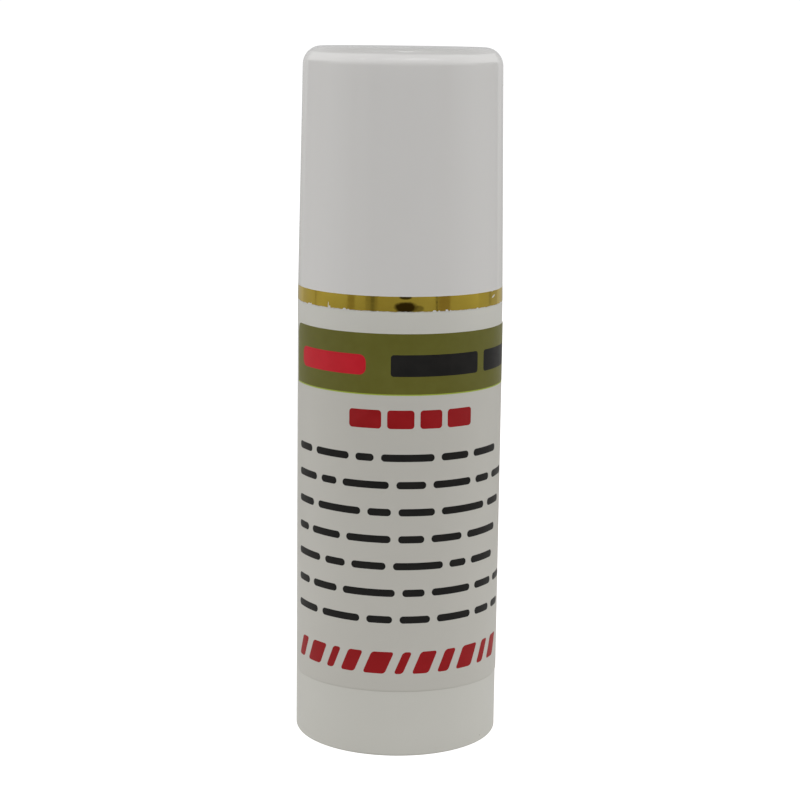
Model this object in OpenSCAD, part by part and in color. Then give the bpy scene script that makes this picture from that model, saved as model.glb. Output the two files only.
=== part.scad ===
// Small fine-mist spray bottle: cylindrical bottle with a screw-on pump and a
// full-diameter overcap. Millimetres, +Z up, origin at the centre of the base,
// front of the bottle and the nozzle facing -Y.

/* [Bottle] */
// Outer diameter of the bottle's body
body_d = 35; // [34:0.5:38]
// Height from the base to the ledge that the overcap meets
body_h = 75.8; // [70:0.1:90]
// Wall thickness of the bottle
wall = 1.1; // [0.9:0.1:1.3]
// Radius round the foot of the bottle
foot_r = 0.5; // [0.4:0.1:1.4]
// Height of the pushed-up middle of the base
push_up = 1.5; // [1:0.1:2.2]
// Height of the spigot that the overcap slides over
spigot_h = 4; // [3.6:0.1:5]

/* [Neck] */
// Outer diameter of the neck between the threads
neck_d = 17.6; // [17.4:0.1:17.8]
// Height of the neck above the shoulder
neck_h = 13; // [12.8:0.1:14.5]
// Bore of the neck
neck_bore = 14.8; // [14.2:0.1:15.2]
// Outer diameter over the neck's thread
thread_d = 19.7; // [19.4:0.1:19.9]
// Rise of the thread in one turn
pitch = 3.175; // [3.1:0.025:3.25]
// Turns of thread on the neck
thread_turns = 1.5; // [1.2:0.1:1.6]

/* [Overcap] */
// Height of the overcap
cap_h = 42.4; // [42.2:0.1:48]
// Gap between the ledge and the overcap's rim
cap_gap = 0.1; // [0.1:0.05:0.3]
// Draft of the overcap's side in degrees
cap_draft = 1; // [0.4:0.1:1.2]
// Radius round the overcap's top edge
cap_edge_r = 3.1; // [2.8:0.1:4.6]
// Thickness of the overcap's roof
cap_roof = 1.6; // [1.3:0.1:1.7]
// Grip ribs inside the overcap's mouth
cap_ribs = 12; // [6:1:16]

/* [Foil band] */
// Height of the band's lower edge above the overcap's rim
foil_up = 0; // [0:0.1:2]
// Width of the band
foil_w = 2.5; // [1.5:0.1:4]

/* [Label] */
// Length of the label round the bottle
label_w = 51.6; // [40:0.2:80]
// Height of the label
label_h = 61.4; // [40:0.2:61.6]
// Height of the label's lower edge above the base
label_z = 10.9; // [4:0.1:11]
// Angle of the label's centre from the front, in degrees
label_turn = 7.5; // [-20:0.5:20]
// Corner radius of the label
label_r = 1.7; // [1.5:0.1:4]

/* [Pump] */
// Travel of the actuator
stroke = 4.2; // [3.4:0.1:4.2]
// Bore of the pump barrel
pump_bore = 6.2; // [6.1:0.05:6.3]
// Outer diameter of the closure without its ribs
closure_d = 22.6; // [22.2:0.1:23.4]
// Grip ribs round the closure
closure_ribs = 60; // [36:6:72]
// Outer diameter of the actuator
button_d = 13.8; // [13.4:0.1:13.9]
// Outer diameter of the dip tube
tube_d = 3; // [2.8:0.05:3.1]
// Bore of the dip tube
tube_bore = 1.8; // [1.2:0.1:2]

/* [Hidden] */
$fn = 96;

// bottle
body_r = body_d / 2;
spigot_r = body_r - 2.1;
z_ledge = body_h;
z_spigot = z_ledge + spigot_h;
z_neck = z_spigot + 1.2;
z_lip = z_neck + neck_h;
floor_t = 1.4;
ring_r = body_r - 5;                                   // inner edge of the standing ring
dome_r = (ring_r * ring_r + push_up * push_up) / (2 * push_up);

// label: a thin shell just off the bottle's wall, angles from +X
film_r0 = body_r + 0.02;
film_r1 = body_r + 0.12;
label_a = label_w / (film_r1 * PI / 180);
label_a0 = -90 + label_turn - label_a / 2;
label_a1 = label_a0 + label_a;

// pump heights, all from the bottle's lip
flange_z = 1;                  // underside of the housing's flange
flange_t = 1.2;
plate_z = flange_z + flange_t + 0.05;   // underside of the closure's plate
plate_top = plate_z + 1.15;
button_z = plate_top + stroke + 0.3;    // lower edge of the actuator
shroud_top = button_z + 0.7;
spray_z = shroud_top + stroke + 1;      // axis of the nozzle
button_top = spray_z + 3.6;
turret_top = flange_z + flange_t + 0.8;
boss_z = turret_top + stroke + 0.5;     // lower end of the stem socket
stem_top = spray_z - 1.8;
seal_seat = -3.1;              // step in the housing under the stem seal
collar_top = seal_seat - 0.03;          // top of the stem's collar
collar_z = collar_top - 0.67;
stem_end = collar_z - 1.6;     // lower end of the stem
piston_z = -9.95;              // lower face of the piston
barrel_end = piston_z - stroke - 0.65;  // lower end of the pump bore
spring_seat = barrel_end - 8.2;
ball_seat = spring_seat - 2.8;
socket_top = ball_seat - 0.9;
socket_z = socket_top - 7.3;   // lower end of the housing

pump_r = pump_bore / 2;
ball_r = 1.2;
port_r = 0.8;                  // inlet port under the ball
ball_z = ball_seat + sqrt(ball_r * ball_r - port_r * port_r) + 0.02;
stem_r = 2;
rod_flange = piston_z - 1.05;  // underside of the piston's seat
spring_top = rod_flange - 0.6; // underside of the rod's spring flange
tube_end = 3.7;                // height of the dip tube's tip above the base

// overcap: never so low that its roof meets the pump as the closure unscrews
z_rim = z_ledge + cap_gap;
z_top = max(z_rim + cap_h, z_lip + button_top + pitch * thread_turns + 0.2 + cap_roof);
z_roof = z_top - cap_roof;
rim_r = body_r - 0.02;
mouth_r = spigot_r + 0.35;
function cap_r(z) = rim_r - (z - z_rim) * tan(cap_draft);
function cap_in_r(z) = mouth_r - (z - z_rim) * tan(cap_draft * 0.76);

white_cap = [0.75, 0.745, 0.735];
white_body = [0.72, 0.72, 0.69];
film_grey = [0.68, 0.68, 0.655];
gold = [0.60, 0.51, 0.18];
white_pump = [0.86, 0.86, 0.85];
natural = [0.82, 0.83, 0.82];
steel = [0.70, 0.71, 0.72];
rubber_grey = [0.60, 0.60, 0.60];

// ---- helpers -------------------------------------------------------------

// rectangle in the revolved half plane, from r0 to r1 and z0 to z1
module band(r0, r1, z0, z1) translate([r0, z0]) square([r1 - r0, z1 - z0]);

// rectangle from the axis with its outer corners rounded, below by ra, above by rb
module round_band(r, z0, z1, ra, rb) {
    polygon([[0, z0], [r - ra, z0], [r, z0 + ra], [r, z1 - rb], [r - rb, z1], [0, z1]]);
    if (ra > 0) translate([r - ra, z0 + ra]) circle(r = ra);
    if (rb > 0) translate([r - rb, z1 - rb]) circle(r = rb);
}

// drafted rectangle from the axis with its upper corner rounded
module draft_band(r0, r1, z0, z1, rb) {
    slope = atan((r0 - r1) / (z1 - z0));
    zc = z1 - rb;
    rc = r0 - (zc - z0) * tan(slope) - rb / cos(slope);
    polygon([[0, z0], [r0, z0], [rc + rb * cos(slope), zc + rb * sin(slope)], [rc, z1], [0, z1]]);
    translate([rc, zc]) circle(r = rb);
}

// share of full height at turn u of a ridge that fades in and out at its ends
function fade(u, turns) = max(0, min(1, u * 9, (turns - u) * 9));

// helical ridge for a screw thread. base and tip are radii, wb and wt the half widths there
module ridge(base, tip, wb, wt, turns, z0, seg = 40) {
    n = round(turns * seg);
    out = tip > base;
    pts = [for (i = [0:n])
        let (u = i / seg, a = 360 * u, z = z0 + pitch * u,
             t = base + (tip - base) * max(0.12, fade(u, turns)))
        for (p = [[base, -wb], [t, -wt], [t, wt], [base, wb]])
            [p[0] * cos(a), p[0] * sin(a), z + p[1]]];
    side = [for (i = [0:n - 1]) for (j = [0:3])
        let (a = 4 * i + j, b = 4 * i + (j + 1) % 4, c = a + 4, d = b + 4)
        each [[a, c, b], [b, c, d]]];
    ends = [[0, 1, 2], [0, 2, 3], [4 * n, 4 * n + 2, 4 * n + 1], [4 * n, 4 * n + 3, 4 * n + 2]];
    faces = concat(side, ends);
    polyhedron(pts, out ? [for (f = faces) [f[2], f[1], f[0]]] : faces);
}

// height of a coil spring's wire at turn u; the first and last turn lie close
function coil_z(u, turns, len, wire) =
    let (dead = wire * 1.08)
    u < 1 ? dead * u
    : u > turns - 1 ? len - wire - dead * (turns - u)
    : dead + (len - wire - 2 * dead) * (u - 1) / (turns - 2);

// compression spring from z0 up to z0 + len, cr the radius of its wire's centre
module coil(cr, wire, turns, z0, len, seg, sides) {
    n = round(turns * seg);
    pts = [for (i = [0:n])
        let (u = i / seg, a = 360 * u,
             rise = (coil_z(min(turns, u + 0.02), turns, len, wire)
                     - coil_z(max(0, u - 0.02), turns, len, wire))
                    / (min(turns, u + 0.02) - max(0, u - 0.02)) / (2 * PI * cr),
             k = sqrt(1 + rise * rise),
             e1 = [cos(a), sin(a), 0],
             e2 = [sin(a) * rise, -cos(a) * rise, 1] / k,
             c = [cr * cos(a), cr * sin(a), z0 + wire / 2 + coil_z(u, turns, len, wire)])
        for (j = [0:sides - 1])
            c + wire / 2 * (cos(360 * j / sides) * e1 + sin(360 * j / sides) * e2)];
    side = [for (i = [0:n - 1]) for (j = [0:sides - 1])
        let (a = sides * i + j, b = sides * i + (j + 1) % sides, c = a + sides, d = b + sides)
        each [[a, b, c], [b, d, c]]];
    ends = concat([for (j = [1:sides - 2]) [0, j + 1, j]],
                  [for (j = [1:sides - 2]) [sides * n, sides * n + j, sides * n + j + 1]]);
    polyhedron(pts, concat(side, ends));
}

// ---- bottle and its label ------------------------------------------------

// outside of the bottle: body, spigot, sloping shoulder and neck
module bottle_outside() {
    round_band(body_r, 0, z_ledge, foot_r, 0.25);
    round_band(spigot_r, z_ledge - 1, z_spigot, 0, 0.8);
    polygon([[0, z_spigot - 0.8], [spigot_r - 0.8, z_spigot],
             [neck_d / 2 + 0.6, z_neck], [0, z_neck]]);
    round_band(neck_d / 2, z_neck - 1, z_lip, 0, 0.3);
}

// inside of the bottle, offset from the outside by the wall
module bottle_inside() {
    in_r = body_r - wall;
    difference() {
        round_band(in_r, floor_t, z_ledge - wall, 1.2, 1.2);
        translate([0, push_up - dome_r]) circle(r = dome_r + floor_t, $fn = 360);
    }
    round_band(spigot_r - wall, z_ledge - wall - 2, z_spigot - wall, 0, 0.6);
    polygon([[0, z_spigot - wall - 0.6], [spigot_r - wall - 0.6, z_spigot - wall],
             [neck_bore / 2, z_neck - wall], [0, z_neck - wall]]);
    band(0, neck_bore / 2, z_neck - wall - 1, z_lip + 1);
}

module bottle() {
    color(white_body) union() {
        rotate_extrude() intersection() {
            difference() {
                bottle_outside();
                bottle_inside();
                translate([0, push_up - dome_r]) circle(r = dome_r, $fn = 360);
            }
            band(0, 100, -1, 300);
        }
        translate([0, 0, z_lip])
            ridge(neck_d / 2 - 0.5, thread_d / 2, 1.19, 0.45, thread_turns, -6.5);
    }
}

// what one rounded corner of the label takes off: sa and sz point into the label.
// The round crosses the label's edges at a small angle instead of touching them
module label_corner(a, z, sa, sz) {
    in = label_r - 0.08;
    rotate([0, 0, a + sa * in / (film_r1 * PI / 180)])
    translate([body_r - 1, 0, z + sz * in]) difference() {
        translate([0, sa > 0 ? -label_r - 0.8 : 0, sz > 0 ? -label_r - 0.8 : 0])
            cube([2, label_r + 0.8, label_r + 0.8]);
        translate([-1, 0, 0]) rotate([0, 90, 0]) cylinder(r = label_r, h = 4);
    }
}

module label() {
    color(film_grey) difference() {
        rotate([0, 0, label_a0]) rotate_extrude(angle = label_a)
            band(film_r0, film_r1, label_z, label_z + label_h);
        label_corner(label_a0, label_z, 1, 1);
        label_corner(label_a0, label_z + label_h, 1, -1);
        label_corner(label_a1, label_z, -1, 1);
        label_corner(label_a1, label_z + label_h, -1, -1);
    }
}

// ---- overcap and its foil band -------------------------------------------

module foil_profile(r_in, r_out) {
    z0 = z_rim + foil_up;
    z1 = z0 + foil_w;
    polygon([[cap_r(z0) + r_in, z0], [cap_r(z0) + r_out, z0],
             [cap_r(z1) + r_out, z1], [cap_r(z1) + r_in, z1]]);
}

module overcap() {
    color(white_cap) union() {
        rotate_extrude() difference() {
            draft_band(rim_r, cap_r(z_top), z_rim, z_top, cap_edge_r);
            draft_band(cap_in_r(z_rim - 1), cap_in_r(z_roof), z_rim - 1, z_roof, cap_edge_r - 1.4);
            foil_profile(-0.1, 1);
        }
        // short ribs that grip the spigot
        for (i = [0:cap_ribs - 1]) rotate([0, 0, (i + 0.5) * 360 / cap_ribs])
            translate([spigot_r + 0.55, 0, z_rim + 0.5]) cylinder(r = 0.5, h = spigot_h);
    }
}

module gold_band() {
    color(gold) rotate_extrude() foil_profile(-0.085, 0.01);
}

// ---- pump: what screws on ------------------------------------------------

module closure() {
    r = closure_d / 2;
    skirt = -9.4;
    color(white_pump) translate([0, 0, z_lip]) union() {
        difference() {
            union() {
                rotate_extrude() difference() {
                    union() {
                        round_band(r, skirt, plate_z + 0.3, 0.4, 0);
                        polygon([[0, plate_z], [r, plate_z], [r, plate_z + 0.3],
                                 [r - 0.85, plate_top], [0, plate_top]]);
                        band(0, button_d / 2 + 1.6, plate_z, shroud_top - 0.4);
                        round_band(button_d / 2 + 1.6, plate_z, shroud_top, 0, 0.4);
                    }
                }
                // fine grip ribs
                translate([0, 0, skirt + 1]) linear_extrude(plate_z - skirt - 1.2)
                    for (i = [0:closure_ribs - 1]) rotate(i * 360 / closure_ribs)
                        translate([r, 0]) circle(r = 0.3, $fn = 24);
            }
            translate([0, 0, skirt - 1]) cylinder(r = 10.1, h = plate_z - skirt + 1);
            translate([0, 0, skirt - 0.01]) cylinder(r1 = 10.5, r2 = 10.1, h = 0.5);
            cylinder(r = 5.3, h = plate_top + 1);
            translate([0, 0, plate_top]) cylinder(r = button_d / 2 + 0.35, h = 12);
        }
        ridge(10.6, 9.05, 1.01, 0.35, thread_turns - 0.25, -6.5 - pitch / 2);
    }
}

module gasket() {
    color(rubber_grey) translate([0, 0, z_lip]) rotate_extrude() band(5.75, 9.4, 0.01, flange_z);
}

// ---- pump: barrel --------------------------------------------------------

module pump_housing() {
    color(natural) translate([0, 0, z_lip]) difference() {
        rotate_extrude() difference() {
            polygon([[0, socket_z], [2.4, socket_z], [2.6, socket_z + 0.6], [2.6, socket_top - 0.6],
                     [3.7, ball_seat + 0.2], [3.7, barrel_end - 0.9], [4.3, barrel_end + 0.1],
                     [4.3, seal_seat - 1.9], [5.5, seal_seat - 0.9], [5.5, flange_z],
                     [9.4, flange_z], [9.4, flange_z + flange_t], [0, flange_z + flange_t]]);
            band(0, 4.4, seal_seat, 5);
            band(0, pump_r, barrel_end, seal_seat + 1);
            band(0, 2.75, spring_seat, barrel_end + 1);
            band(0, 1.35, ball_seat, spring_seat + 1);
            band(0, port_r, socket_top - 1, ball_seat + 1);
            band(0, tube_d / 2 + 0.03, socket_z - 1, socket_top);
        }
        // vent above the piston
        translate([0, 0, seal_seat - 1.0]) rotate([0, 90, 0]) cylinder(r = 0.4, h = 8);
    }
    // three nibs that keep the ball in its chamber
    color(natural) translate([0, 0, z_lip]) for (i = [0:2]) rotate([0, 0, 60 + 120 * i])
        translate([0.95, -0.25, spring_seat - 0.3]) cube([0.8, 0.5, 0.25]);
}

module turret() {
    color(white_pump) translate([0, 0, z_lip]) rotate_extrude() difference() {
        union() {
            band(stem_r + 0.04, 4.37, seal_seat + 0.6, flange_z + flange_t + 0.1);
            round_band(5.1, flange_z + flange_t, turret_top, 0, 0.3);
        }
        band(0, stem_r + 0.04, -10, 10);
        band(2.8, 3.65, seal_seat, flange_z + flange_t - 0.4);
    }
}

module stem_seal() {
    color(rubber_grey) translate([0, 0, z_lip]) rotate_extrude()
        band(stem_r + 0.05, 4.36, seal_seat + 0.02, seal_seat + 0.6);
}

module dip_tube() {
    color(natural) difference() {
        translate([0, 0, tube_end]) rotate_extrude()
            band(tube_bore / 2, tube_d / 2, 0, z_lip + socket_top - 0.02 - tube_end);
        // slanted tip, so that it can't seal against the base
        translate([0, 0, tube_end]) rotate([0, 30, 0]) translate([-6, -3, -8.75]) cube([12, 6, 8]);
    }
}

// ---- pump: moving pieces -------------------------------------------------

module stem() {
    color(white_pump) translate([0, 0, z_lip]) rotate_extrude() difference() {
        union() {
            round_band(stem_r, collar_top - 0.3, stem_top, 0, 0.3);
            band(0, pump_r - 0.2, collar_z, collar_top);
            band(0, 1.9, stem_end, collar_z + 0.1);
        }
        band(0, 0.8, stem_end - 1, stem_top + 1);
        band(0, 1, stem_end - 1, stem_end + 3);
    }
}

module valve_rod() {
    color(natural) translate([0, 0, z_lip]) difference() {
        rotate_extrude() {
            round_band(0.98, stem_end - 0.2, stem_end + 2.9, 0, 0.2);
            band(0, 1.5, piston_z - 0.2, stem_end - 0.02);
            polygon([[0, rod_flange], [2.2, rod_flange], [2.2, rod_flange + 0.4],
                     [1.9, piston_z - 0.03], [0, piston_z - 0.03]]);
            band(0, 2.4, spring_top, rod_flange + 0.01);
            round_band(1.3, spring_seat + stroke + 1.3, spring_top + 0.1, 0.4, 0);
        }
        translate([0, 0, piston_z + 0.4]) cylinder(r = 0.45, h = 20);
        translate([0, 0, piston_z + 0.4]) rotate([0, 90, 0]) cylinder(r = 0.25, h = 8, center = true);
    }
}

module piston() {
    color(natural) translate([0, 0, z_lip]) rotate_extrude() difference() {
        union() {
            band(0, pump_r - 0.03, piston_z, piston_z + 0.8);
            band(0, pump_r - 0.25, piston_z + 0.7, piston_z + 3);
            band(0, pump_r - 0.03, piston_z + 2.6, piston_z + 3.35);
        }
        band(0, 1.53, piston_z - 1, piston_z + 5);
        band(0, pump_r - 0.5, piston_z + 1.75, piston_z + 5);
    }
}

module return_spring() {
    color(steel) translate([0, 0, z_lip])
        coil(2.05, 0.6, 8, spring_seat + 0.02, spring_top - spring_seat - 0.04, 18, 8);
}

module upper_spring() {
    z0 = piston_z + 1.77;
    color(steel) translate([0, 0, z_lip]) coil(2.25, 0.4, 5, z0, collar_z - 0.02 - z0, 16, 6);
}

module check_ball() {
    color(steel) translate([0, 0, z_lip + ball_z]) sphere(r = ball_r);
}

module actuator() {
    r = button_d / 2;
    color(white_pump) translate([0, 0, z_lip]) difference() {
        union() {
            rotate_extrude() difference() {
                round_band(r, button_z, button_top, 0.3, 0.8);
                round_band(r - 0.9, button_z - 2, button_top - 1.8, 0, 0.8);
            }
            translate([0, 0, boss_z]) cylinder(r = 3.3, h = button_top - 1 - boss_z);
            // block that holds the nozzle insert
            intersection() {
                translate([0, -1, spray_z]) rotate([90, 0, 0]) cylinder(r = 2.9, h = r);
                translate([0, 0, boss_z]) cylinder(r = r - 0.4, h = 20);
            }
        }
        // finger dish
        translate([0, 0, button_top + 17.3]) sphere(r = 18, $fn = 240);
        // stem socket, chamber and spray channel
        translate([0, 0, boss_z - 1]) cylinder(r = stem_r + 0.03, h = stem_top + 0.1 - boss_z + 1);
        translate([0, 0, stem_top - 0.5]) cylinder(r = 1, h = 1.4);
        translate([0, 0, stem_top + 0.45]) rotate([90, 0, 0]) cylinder(r = 0.3, h = 5, $fn = 24);
        // pocket with the post of the swirl chamber
        translate([0, -4.4, spray_z]) rotate([90, 0, 0]) difference() {
            cylinder(r = 2.3, h = 4);
            translate([0, 0, -1]) cylinder(r = 1.1, h = 2.45);
        }
    }
}

module nozzle_insert() {
    color(white_pump) translate([0, -4.42, z_lip + spray_z]) rotate([90, 0, 0]) rotate_extrude()
        difference() {
            round_band(2.28, 0, 2.3, 0, 0.25);
            band(0, 1.7, -1, 1.6);
            band(0, 0.2, -1, 3);
            polygon([[0, 2], [0.2, 2], [0.9, 2.31], [0, 2.31]]);
        }
}

bottle();
label();
overcap();
gold_band();
closure();
gasket();
pump_housing();
turret();
stem_seal();
stem();
upper_spring();
piston();
valve_rod();
return_spring();
check_ball();
dip_tube();
actuator();
nozzle_insert();
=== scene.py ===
import math

import bmesh
import bpy
import numpy as np
from mathutils import Matrix, Vector


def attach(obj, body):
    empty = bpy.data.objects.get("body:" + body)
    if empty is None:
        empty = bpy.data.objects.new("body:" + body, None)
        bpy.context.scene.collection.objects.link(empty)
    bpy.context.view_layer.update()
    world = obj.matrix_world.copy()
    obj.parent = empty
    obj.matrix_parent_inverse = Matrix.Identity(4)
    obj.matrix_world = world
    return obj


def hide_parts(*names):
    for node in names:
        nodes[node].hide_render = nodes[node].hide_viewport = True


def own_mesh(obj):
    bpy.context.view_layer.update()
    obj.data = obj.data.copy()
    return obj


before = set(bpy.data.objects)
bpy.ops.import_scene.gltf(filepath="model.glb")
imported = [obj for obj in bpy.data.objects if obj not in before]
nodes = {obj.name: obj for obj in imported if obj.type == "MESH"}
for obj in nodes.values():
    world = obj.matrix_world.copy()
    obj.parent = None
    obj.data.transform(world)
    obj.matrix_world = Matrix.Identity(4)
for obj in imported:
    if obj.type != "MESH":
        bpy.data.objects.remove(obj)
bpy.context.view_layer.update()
scene = bpy.context.scene

MM = 0.001
PI = math.pi


# ---------------------------------------------------------------- mesh tools
# All shapes are written in millimetres in the frame's axes: +Z up, the front
# of the label towards -Y, angles counted from +X.

def piece(name, verts, faces, smooth=35.0, outward=True):
    """A mesh object from points in millimetres, smooth but for edges sharper than smooth degrees."""
    me = bpy.data.meshes.new(name)
    me.from_pydata((np.asarray(verts, float) * MM).tolist(), [], faces)
    bm = bmesh.new()
    bm.from_mesh(me)
    if outward:
        bmesh.ops.recalc_face_normals(bm, faces=bm.faces)
    bm.to_mesh(me)
    bm.free()
    me.shade_smooth()
    me.set_sharp_from_angle(angle=math.radians(smooth))
    me.update()
    o = bpy.data.objects.new(name, me)
    scene.collection.objects.link(o)
    return o


def rounded(points, steps=8, loop=False):
    """A path of (r, z) from corners (r, z, radius), each corner turned into an arc."""
    out = []
    n = len(points)
    for i, p in enumerate(points):
        r = p[2] if len(p) > 2 else 0
        if r <= 0 or (not loop and i in (0, n - 1)):
            out.append((p[0], p[1]))
            continue
        q = np.array(p[:2], float)
        a = np.array(points[i - 1][:2], float) - q
        b = np.array(points[(i + 1) % n][:2], float) - q
        la, lb = np.linalg.norm(a), np.linalg.norm(b)
        a, b = a / la, b / lb
        half = math.acos(max(-1.0, min(1.0, float(a @ b)))) / 2
        back = min(r / math.tan(half), la * 0.499, lb * 0.499)
        r = back * math.tan(half)
        c = q + (a + b) / np.linalg.norm(a + b) * (r / math.sin(half))
        s, e = q + a * back - c, q + b * back - c
        t0 = math.atan2(s[1], s[0])
        turn = math.atan2(e[1], e[0]) - t0
        while turn > PI:
            turn -= 2 * PI
        while turn < -PI:
            turn += 2 * PI
        for k in range(steps + 1):
            t = t0 + turn * k / steps
            out.append((c[0] + r * math.cos(t), c[1] + r * math.sin(t)))
    return out


def dense(path, step, loop=False):
    """The same path with its long stretches cut to at most step."""
    out = []
    pts = list(path) + ([path[0]] if loop else [])
    for (r0, z0), (r1, z1) in zip(pts, pts[1:]):
        n = max(1, int(math.ceil(math.hypot(r1 - r0, z1 - z0) / step)))
        out += [(r0 + (r1 - r0) * k / n, z0 + (z1 - z0) * k / n) for k in range(n)]
    if not loop:
        out.append(path[-1])
    return out


def turned(path, seg, loop=False, move=None):
    """Points and faces of a path turned about Z. move(r, z, angle) may shift a point."""
    verts, rows = [], []
    for r, z in path:
        if r < 1e-6:
            rows.append([len(verts)])
            verts.append((0.0, 0.0, z))
            continue
        rows.append(list(range(len(verts), len(verts) + seg)))
        for k in range(seg):
            a = 2 * PI * k / seg
            rr, zz = move(r, z, a) if move else (r, z)
            verts.append((rr * math.cos(a), rr * math.sin(a), zz))
    faces = []
    pairs = list(zip(rows, rows[1:])) + ([(rows[-1], rows[0])] if loop else [])
    for a, b in pairs:
        for k in range(seg):
            m = (k + 1) % seg
            if len(a) == 1 and len(b) == 1:
                break
            if len(a) == 1:
                faces.append((a[0], b[m], b[k]))
            elif len(b) == 1:
                faces.append((a[k], a[m], b[0]))
            else:
                faces.append((a[k], a[m], b[m], b[k]))
    return verts, faces


def join(parts):
    """Several (verts, faces) as one."""
    verts, faces = [], []
    for v, f in parts:
        n = len(verts)
        verts += list(v)
        faces += [tuple(i + n for i in x) for x in f]
    return verts, faces


def fade(u, turns):
    return max(0.0, min(1.0, u * 9, (turns - u) * 9))


def thread_height(z, a, z_start, turns, pitch, w_base, w_tip):
    """Share of a thread's full height at height z and angle a."""
    best = 0.0
    for t in range(int(turns) + 2):
        u = t + a / (2 * PI)
        if u < 0 or u > turns:
            continue
        d = abs(z - (z_start + pitch * u))
        h = (w_base - d) / (w_base - w_tip)
        h = max(0.0, min(1.0, h))
        h = h * h * (3 - 2 * h)
        best = max(best, h * fade(u, turns))
    return best


def wrap(u, z, r):
    """A point on a cylinder of radius r at arc length u from the front (measured at r 17.6) and height z."""
    a = -PI / 2 + u / 17.6
    return (r * math.cos(a), r * math.sin(a), z)


def plate(u0, u1, z0, z1, rad, r_in, r_out, lean=0.0, du=0.45, rows=1, arch=0.0, foot=0.0):
    """A thin closed plate wrapped on the bottle: a rounded rectangle in arc length and height, leaning by lean.
    arch lifts the middle of the lower edge; foot thins the plate over that height at its lower edge."""
    h = z1 - z0
    rads = rad if isinstance(rad, (tuple, list)) else (rad,) * 4  # left low, right low, right high, left high
    rads = [min(x, h * 0.49, (u1 - u0) * 0.49) for x in rads]
    cols = set()
    for k in range(7):
        s = 1 - math.cos(PI / 2 * k / 6)
        for x in rads:
            cols.add(round(u0 + x * s, 5))
            cols.add(round(u1 - x * s, 5))
    a, b = u0 + max(rads[0], rads[3]), u1 - max(rads[1], rads[2])
    n = max(1, int(math.ceil((b - a) / du)))
    cols |= {round(a + (b - a) * k / n, 5) for k in range(n + 1)}
    cols = sorted(cols)
    cols = [c for i, c in enumerate(cols) if i == 0 or c - cols[i - 1] > 1e-4]

    def ends(u):
        lo, hi = z0, z1
        for x, edge in ((rads[0], "l"), (rads[1], "r")):
            if x > 0:
                d = (u0 + x - u) if edge == "l" else (u - u1 + x)
                if d > 0:
                    lo = max(lo, z0 + x - math.sqrt(max(0.0, x * x - d * d)))
        for x, edge in ((rads[3], "l"), (rads[2], "r")):
            if x > 0:
                d = (u0 + x - u) if edge == "l" else (u - u1 + x)
                if d > 0:
                    hi = min(hi, z1 - x + math.sqrt(max(0.0, x * x - d * d)))
        return lo + arch * max(0.0, 1 - ((u + 0.6) / 22.0) ** 2), hi

    verts, grid = [], {}
    zc = (z0 + z1) / 2
    for i, u in enumerate(cols):
        lo, hi = ends(u)
        for j in range(rows + 1):
            z = lo + (hi - lo) * j / rows
            top = r_out
            if foot:
                z = lo + foot * j / 2 if j < 3 else lo + foot + (hi - lo - foot) * (j - 2) / (rows - 2)
                top = (r_in + 0.02, r_out - 0.022, r_out)[min(j, 2)]
            uu = u + lean * (z - zc)
            for k, r in enumerate((r_in, top)):
                grid[i, j, k] = len(verts)
                verts.append(wrap(uu, z, r))
    faces = []
    m, w = len(cols) - 1, rows
    for i in range(m):
        for j in range(w):
            faces.append((grid[i, j, 1], grid[i + 1, j, 1], grid[i + 1, j + 1, 1], grid[i, j + 1, 1]))
            faces.append((grid[i, j, 0], grid[i, j + 1, 0], grid[i + 1, j + 1, 0], grid[i + 1, j, 0]))
        faces.append((grid[i, 0, 0], grid[i + 1, 0, 0], grid[i + 1, 0, 1], grid[i, 0, 1]))
        faces.append((grid[i, w, 0], grid[i, w, 1], grid[i + 1, w, 1], grid[i + 1, w, 0]))
    for j in range(w):
        faces.append((grid[0, j, 0], grid[0, j, 1], grid[0, j + 1, 1], grid[0, j + 1, 0]))
        faces.append((grid[m, j, 0], grid[m, j + 1, 0], grid[m, j + 1, 1], grid[m, j, 1]))
    return verts, faces


# ---------------------------------------------------------------- materials

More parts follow.
